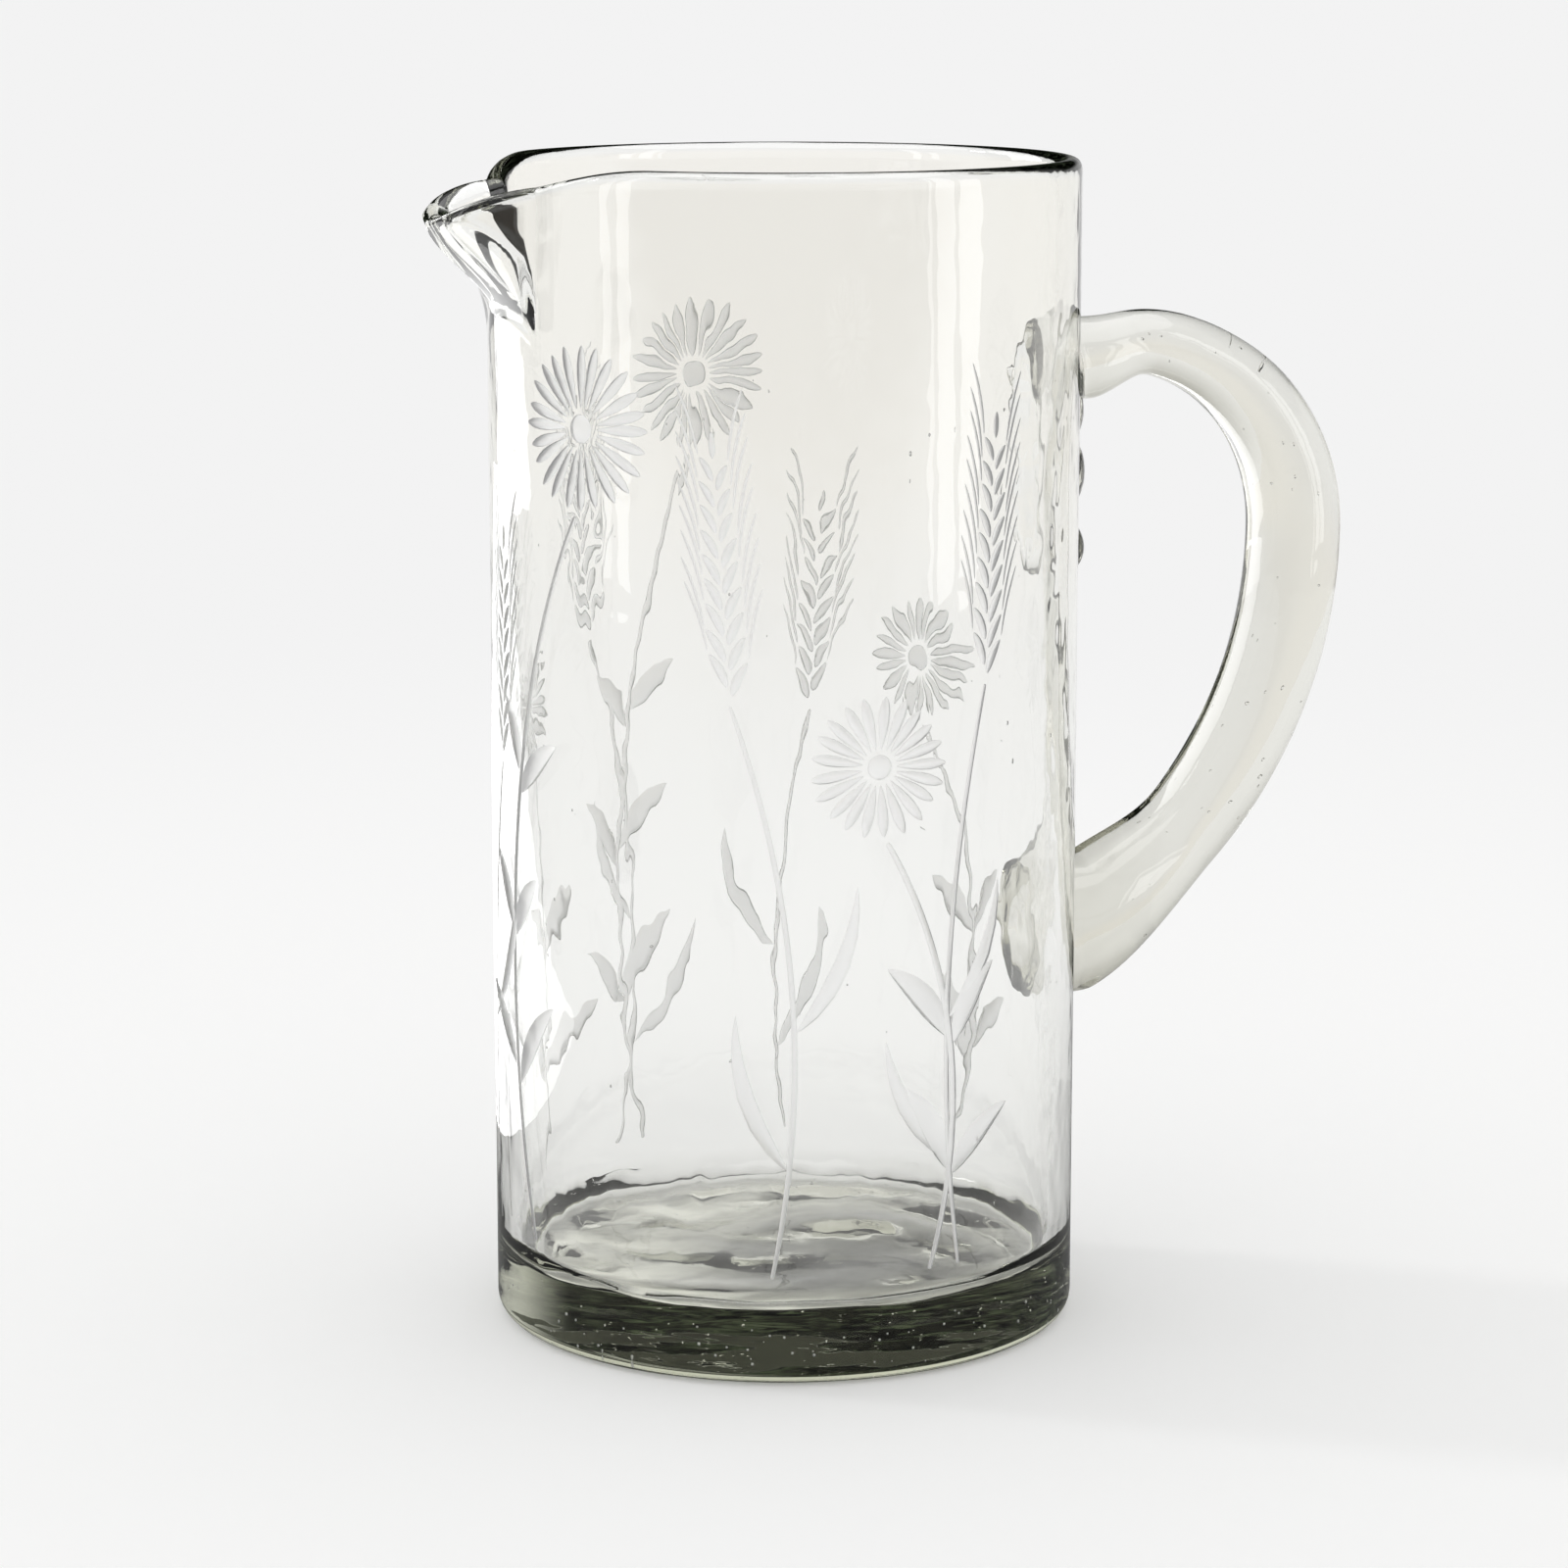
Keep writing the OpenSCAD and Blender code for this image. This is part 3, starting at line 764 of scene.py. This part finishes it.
def engrave(body):
    """Cuts the sprays into the outer wall, stems first, and marks the cut faces in an attribute."""
    hand = random.Random(CUT_DRAWS)
    spindle = plain_spindle(SPINDLE_SIDES, SPINDLE_RINGS)
    stem_spindle = plain_spindle(SPINDLE_SIDES, STEM_RINGS)
    layers = []
    for sprays, cut_spray in ((DAISIES, cut_daisy), (EARS, cut_ear)):
        passes = [cut_spray(spindle, stem_spindle, hand, *spray) for spray in sprays]
        layers += [sum(cuts, []) for cuts in zip(*passes)]
    bpy.data.objects.remove(spindle)
    bpy.data.objects.remove(stem_spindle)
    split_faces(body)
    # Two markers in the material slots, which the cutting keeps, tell the cut faces from the clear ones
    markers = [bpy.data.materials.new(name) for name in ("clear", "satin")]
    for marker in markers:
        body.data.materials.append(marker)
    for cuts in layers:
        tool = cuts[0]
        activate(tool)
        for cut in cuts:
            cut.select_set(True)
        bpy.ops.object.join()
        for marker in markers:
            tool.data.materials.append(marker)
        for face in tool.data.polygons:
            face.material_index = 1
        apply_modifier(body, "BOOLEAN", operation="DIFFERENCE", object=tool, solver="MANIFOLD")
        bpy.data.objects.remove(tool)
    satin = body.data.attributes.new("satin", "FLOAT", "FACE")
    for face in body.data.polygons:
        satin.data[face.index].value = face.material_index
        face.material_index = 0
    body.data.materials.clear()
    for marker in markers:
        bpy.data.materials.remove(marker)


def sharpen_cuts(body):
    """Keeps the edge of each cut crisp, also where the wheel only grazed the wall."""
    satin = [item.value for item in body.data.attributes["satin"].data]
    seen = {}
    for face in body.data.polygons:
        for loop in face.loop_indices:
            seen.setdefault(body.data.loops[loop].edge_index, set()).add(satin[face.index])
    for edge, marks in seen.items():
        if len(marks) > 1:
            body.data.edges[edge].use_edge_sharp = True


# Seeds in the glass


def add_seeds(piece, seeds):
    """Bubbles, each given by its middle, radius, direction, how far it is drawn that way, and its satin,
    which paints a white glint.
    """
    bpy.ops.object.select_all(action="DESELECT")
    bpy.ops.mesh.primitive_ico_sphere_add(subdivisions=1, radius=1)
    bpy.ops.object.mode_set(mode="EDIT")
    bpy.ops.mesh.select_all(action="SELECT")
    bpy.ops.mesh.flip_normals()
    bpy.ops.object.mode_set(mode="OBJECT")
    bpy.ops.object.shade_smooth()
    seed = bpy.context.object
    bubbles = []
    for middle, radius, heading, drawn, glint_satin in seeds:
        bubble = seed.copy()
        bubble.data = seed.data.copy()
        bpy.context.collection.objects.link(bubble)
        for vertex in bubble.data.vertices:
            along_it = vertex.co.dot(heading)
            vertex.co = middle + radius * (vertex.co + (drawn - 1) * along_it * heading)
        satin = bubble.data.attributes.new("satin", "FLOAT", "FACE")
        for item in satin.data:
            item.value = glint_satin
        bubbles.append(bubble)
    bpy.data.objects.remove(seed)
    activate(piece)
    for bubble in bubbles:
        bubble.select_set(True)
    bpy.ops.object.join()


def body_seeds(hand):
    """Clear ones all through the base, satin ones near its side as painted glints, and some in the wall,
    drawn out upwards.
    """
    up = Vector((0, 0, 1))
    seeds = []
    for _ in range(BASE_SEEDS):
        turn = hand.uniform(0, math.tau)
        reach = (OUTER_R - BASE_SEED_MARGIN) * math.sqrt(hand.random())
        middle = Vector((reach * math.cos(turn), reach * math.sin(turn), hand.uniform(*BASE_SEED_Z)))
        seeds.append((middle, hand.uniform(*BASE_SEED_R), up, 1.0, 0.0))
    # Satin seeds near the side of the base, as painted glints
    for _ in range(SIDE_SEEDS):
        turn = hand.uniform(0, math.tau)
        reach = OUTER_R - hand.uniform(*SIDE_SEED_DEPTHS)
        middle = Vector((reach * math.cos(turn), reach * math.sin(turn), hand.uniform(*SIDE_SEED_Z)))
        seeds.append((middle, hand.uniform(*SIDE_SEED_R), up, 1.0, 1.0))
    for _ in range(WALL_SEEDS):
        turn = hand.uniform(0, math.tau)
        reach = OUTER_R - hand.uniform(*WALL_SEED_DEPTHS)
        middle = Vector((reach * math.cos(turn), reach * math.sin(turn), hand.uniform(*WALL_SEED_Z)))
        seeds.append((middle, hand.uniform(*WALL_SEED_R), up, hand.uniform(*WALL_SEED_DRAWN), 0.0))
    return seeds


def handle_seeds(hand):
    """Scattered along the rod and drawn out with it."""
    seeds = []
    for _ in range(ROD_SEEDS):
        s = HANDLE_RUN * hand.uniform(*ROD_SEED_RUN)
        x, z, turn = handle_middle(s)
        out = hand.uniform(*ROD_SEED_OUT) * handle_size(s, 0)
        across = hand.uniform(*ROD_SEED_ACROSS) * handle_size(s, 1)
        middle = Vector((x + out * math.sin(turn), across, z + out * math.cos(turn)))
        heading = Vector((math.cos(turn), 0, -math.sin(turn)))
        seeds.append((middle, hand.uniform(*ROD_SEED_R), heading, hand.uniform(*ROD_SEED_DRAWN), 0.0))
    return seeds


# Glass


def glass(name, tint, density):
    """Fire-polished soda glass: sharp gleams that soft waves in its skin bend, a tint that grows with its
    thickness, and a pale satin where the wheel has cut it."""
    material = bpy.data.materials.new(name)
    material.use_nodes = True
    tree = material.node_tree
    tree.nodes.clear()
    cut = add_node(tree, "Attribute", attribute_name="satin")
    clear = add_node(tree, "MapRange", {"Value": cut.outputs["Fac"], "To Min": 1.0, "To Max": CUT_CLEAR})
    frost = add_node(tree, "MapRange", {"Value": cut.outputs["Fac"], "To Min": 0.0, "To Max": CUT_ROUGH})
    where = add_node(tree, "TexCoord")
    drawn = add_node(tree, "Mapping", {"Vector": where.outputs["Object"], "Scale": (1, 1, WAVE_H / WAVE_L)})
    wave = add_node(tree, "TexNoise", {"Vector": drawn.outputs[0], "Scale": 1 / WAVE_H, "Detail": 1.0})
    skin = add_node(tree, "Bump", {"Height": wave.outputs[0], "Distance": WAVE_DEPTH, "Strength": 1.0})
    shader = add_node(
        tree,
        "BsdfPrincipled",
        {
            "Base Color": linear("FFFFFF"),
            "Roughness": frost.outputs[0],
            "IOR": GLASS_IOR,
            "Transmission Weight": clear.outputs[0],
            "Normal": skin.outputs[0],
        },
    )
    mass = add_node(tree, "VolumeAbsorption", {"Color": linear(tint), "Density": density})
    add_node(tree, "OutputMaterial", {"Surface": shader.outputs[0], "Volume": mass.outputs[0]})
    return material


# Stage: its floor and its world are turned with the view, X to the right and Y away from it


def build_camera():
    turn = math.radians(CAMERA_TURN)
    camera = bpy.data.objects.new("camera", bpy.data.cameras.new("camera"))
    camera.data.lens = LENS_MM
    camera.data.sensor_width = SENSOR_MM
    camera.data.clip_start = CLIP_START
    camera.location = (
        -CAMERA_DISTANCE * math.sin(turn),
        -CAMERA_DISTANCE * math.cos(turn),
        CAMERA_HEIGHT,
    )
    camera.rotation_euler = (math.radians(90 - CAMERA_PITCH), 0, -turn)
    bpy.context.collection.objects.link(camera)
    bpy.context.scene.camera = camera


def stage_shares(tree, sources, fades, meets):
    """Sockets of the shares of the floor or world: fades that follow a source, and where these meet."""
    shares = {}
    for name, (source, start, full, most, interpolation) in fades.items():
        follow = {"Value": sources[source], "From Min": start, "From Max": full, "To Max": most}
        shares[name] = add_node(tree, "MapRange", follow, interpolation_type=interpolation).outputs[0]
    for name, (first, *others) in meets.items():
        shares[name] = shares[first]
        for other in others:
            pair = {0: shares[name], 1: shares[other]}
            shares[name] = add_node(tree, "Math", pair, operation="MULTIPLY").outputs[0]
    return shares


def build_floor():
    """Matt white paper, even and soft. Where glass mirrors it or lets it through, it shows painted shade,
    dim far in front, dark by the foot and in an unlit room, a painted shadow under the base, and painted
    light, pale where the base would gather light on it and warm behind."""
    bpy.ops.object.select_all(action="DESELECT")
    bpy.ops.mesh.primitive_plane_add(size=FLOOR_SIZE, location=(0, 0, -FLOOR_GAP))
    floor = bpy.context.object
    floor.name = "floor"
    material = bpy.data.materials.new("pale_paper_painted_light_and_shade")
    material.use_nodes = True
    tree = material.node_tree
    tree.nodes.clear()
    where = add_node(tree, "TexCoord").outputs["Object"]
    view_turn = {"Vector": where, "Axis": (0, 0, 1), "Angle": math.radians(CAMERA_TURN)}
    turned = add_node(tree, "VectorRotate", view_turn).outputs[0]
    place = add_node(tree, "SeparateXYZ", {"Vector": turned})
    middle = add_node(tree, "VectorMath", {"Vector": where}, operation="LENGTH")
    heart = add_node(tree, "VectorMath", {0: turned, 1: HEART_PLACE}, operation="DISTANCE")
    swirl = add_node(
        tree,
        "TexNoise",
        {"Vector": where, "Scale": 1 / GLOW_SWIRL_W, "Detail": GLOW_DETAIL, "Distortion": GLOW_DISTORTION},
    )
    path = add_node(tree, "LightPath")
    sources = {
        "mirrored_depth": path.outputs["Glossy Depth"],
        "through_depth": path.outputs["Transmission Depth"],
        "ahead": place.outputs["Y"],
        "radius": middle.outputs["Value"],
        "heart": heart.outputs["Value"],
        "swirl": swirl.outputs[0],
    }
    share = stage_shares(tree, sources, FLOOR_FADES, FLOOR_MEETS)
    painted_shadow_disc = add_node(
        tree,
        "Mix",
        {"Factor": share["edge"], "A": linear(PAINTED_SHADOW_HEART), "B": linear(PAINTED_SHADOW_EDGE)},
        data_type="RGBA",
    )
    # Painted shade, painted shadow and painted warm light laid over the paper, each only where glass shows
    # it
    colour = linear(PAPER)
    for tint, name in (
        (linear(PAINTED_FAR_SHADE), "far"),
        (linear(PAINTED_UNLIT_SHADE), "unlit"),
        (linear(PAINTED_FOOT_SHADE), "by_foot"),
        (linear(PAINTED_WARM_BEHIND), "beyond"),
        (painted_shadow_disc.outputs["Result"], "painted_shadow_disc"),
    ):
        layer = add_node(tree, "Mix", {"Factor": share[name], "A": colour, "B": tint}, data_type="RGBA")
        colour = layer.outputs["Result"]
    # Painted light: the paper glows near the pitcher, but not under the base or in the outer gleam, and
    # glows in swirls under the base and behind it, seen through glass
    strength = share["bright"]
    for name in ("painted_shadow_disc", "outer_gleam"):
        bare = add_node(tree, "Math", {0: strength, 1: share[name]}, operation="SUBTRACT", use_clamp=True)
        strength = bare.outputs[0]
    for name in ("painted_gathered_light", "beyond_glow"):
        strength = add_node(tree, "Math", {0: strength, 1: share[name]}, operation="ADD").outputs[0]
    paper = add_node(tree, "BsdfDiffuse", {"Color": colour})
    glow = add_node(tree, "Emission", {"Color": linear(PAINTED_GLOW), "Strength": strength})
    lit = add_node(tree, "AddShader", {0: paper.outputs[0], 1: glow.outputs[0]})
    add_node(tree, "OutputMaterial", {"Surface": lit.outputs[0]})
    material.cycles.emission_sampling = "NONE"
    floor.data.materials.append(material)


def build_world():
    """Pale all round; light that glass has mirrored shows a darker room with bright sides."""
    world = bpy.data.worlds.new("studio")
    bpy.context.scene.world = world
    world.use_nodes = True
    tree = world.node_tree
    tree.nodes.clear()
    where = add_node(tree, "TexCoord").outputs["Generated"]
    view_turn = {"Vector": where, "Axis": (0, 0, 1), "Angle": math.radians(CAMERA_TURN)}
    turned = add_node(tree, "VectorRotate", view_turn).outputs[0]
    side = add_node(tree, "SeparateXYZ", {"Vector": turned})
    flat = add_node(tree, "Mapping", {"Vector": turned, "Scale": STREAK_STRETCH})
    streak = add_node(
        tree,
        "TexNoise",
        {"Vector": flat.outputs[0], "Scale": STREAK_SCALE, "Detail": STREAK_DETAIL},
    )
    path = add_node(tree, "LightPath")
    sources = {
        "mirrored_depth": path.outputs["Glossy Depth"],
        "through_depth": path.outputs["Transmission Depth"],
        "scattered_depth": path.outputs["Diffuse Depth"],
        "right": side.outputs["X"],
        "ahead": side.outputs["Y"],
        "up": side.outputs["Z"],
        "streak": streak.outputs[0],
    }
    share = stage_shares(tree, sources, WORLD_FADES, WORLD_MEETS)
    lit = 0.0
    for name in LIT_SIDES:
        lit = add_node(tree, "Math", {0: lit, 1: share[name]}, operation="MAXIMUM").outputs[0]
    dim = add_node(tree, "Math", {0: share["dim_side"], 1: share["dim_top"]}, operation="MAXIMUM")
    beyond = add_node(
        tree,
        "Mix",
        {"Factor": dim.outputs[0], "A": linear(SKY_THROUGH), "B": linear(SKY_DIM)},
        data_type="RGBA",
    )
    room = add_node(
        tree,
        "Mix",
        {"Factor": share["streak"], "A": linear(ROOM_DARK), "B": linear(ROOM_STREAK)},
        data_type="RGBA",
    )
    room = add_node(
        tree,
        "Mix",
        {"Factor": lit, "A": room.outputs["Result"], "B": linear(SKY)},
        data_type="RGBA",
    )
    shown = linear(SKY)
    for sight, name in ((beyond, "seen_through"), (room, "seen_mirrored")):
        layers = {"Factor": share[name], "A": shown, "B": sight.outputs["Result"]}
        shown = add_node(tree, "Mix", layers, data_type="RGBA").outputs["Result"]
    back = add_node(tree, "Background", {"Color": shown, "Strength": 1.0})
    add_node(tree, "OutputWorld", {"Surface": back.outputs[0]})


def build_panel(name, turn, distance, height, tilt, width, length, strength):
    panel = bpy.data.objects.new(name, bpy.data.lights.new(name, "AREA"))
    panel.data.shape = "RECTANGLE"
    panel.data.size = width
    panel.data.size_y = length
    panel.data.energy = strength * math.pi * width * length
    heading = math.radians(turn + CAMERA_TURN)
    panel.location = (distance * math.sin(heading), distance * math.cos(heading), height)
    panel.rotation_euler = (math.radians(tilt), 0, -heading)
    panel.visible_camera = False
    panel.visible_diffuse = False
    panel.visible_transmission = False
    bpy.context.collection.objects.link(panel)


def build_sun():
    sun = bpy.data.objects.new("sun", bpy.data.lights.new("sun", "SUN"))
    sun.data.energy = SUN_STRENGTH
    sun.data.angle = math.radians(SUN_WIDTH)
    sun.rotation_euler = (math.radians(90 - SUN_HEIGHT), 0, math.radians(180 - SUN_TURN - CAMERA_TURN))
    bpy.context.collection.objects.link(sun)


build_camera()
build_floor()
build_world()
build_sun()
for panel_row in PANELS:
    build_panel(*panel_row)

body = turn_body()
pull_spout(body)
ripple(body)
engrave(body)
smooth(body, BODY_CREASE_ANGLE)
sharpen_cuts(body)
add_seeds(body, body_seeds(random.Random(BODY_DRAWS)))

handle = build_handle()
smooth(handle, HANDLE_CREASE_ANGLE)
add_seeds(handle, handle_seeds(random.Random(HANDLE_DRAWS)))

# Blown glass: almost clear in the wall, grey-green in the thick base
body.data.materials.append(glass("soda_glass", BODY_TINT, BODY_DENSITY))
# The same glass drawn hot into a rod: a warm, pale grey, because light runs a long way in it
handle.data.materials.append(glass("drawn_soda_glass", HANDLE_TINT, HANDLE_DENSITY))
for piece, slot, nodes in (
    (body, "body_glass", ("base", "barrel", "rim", "spout")),
    (handle, "handle_glass", ("handle", "upper_weld", "lower_weld")),
):
    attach(piece, "root")
    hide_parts(*nodes)

bpy.context.scene.view_settings.view_transform = "Standard"
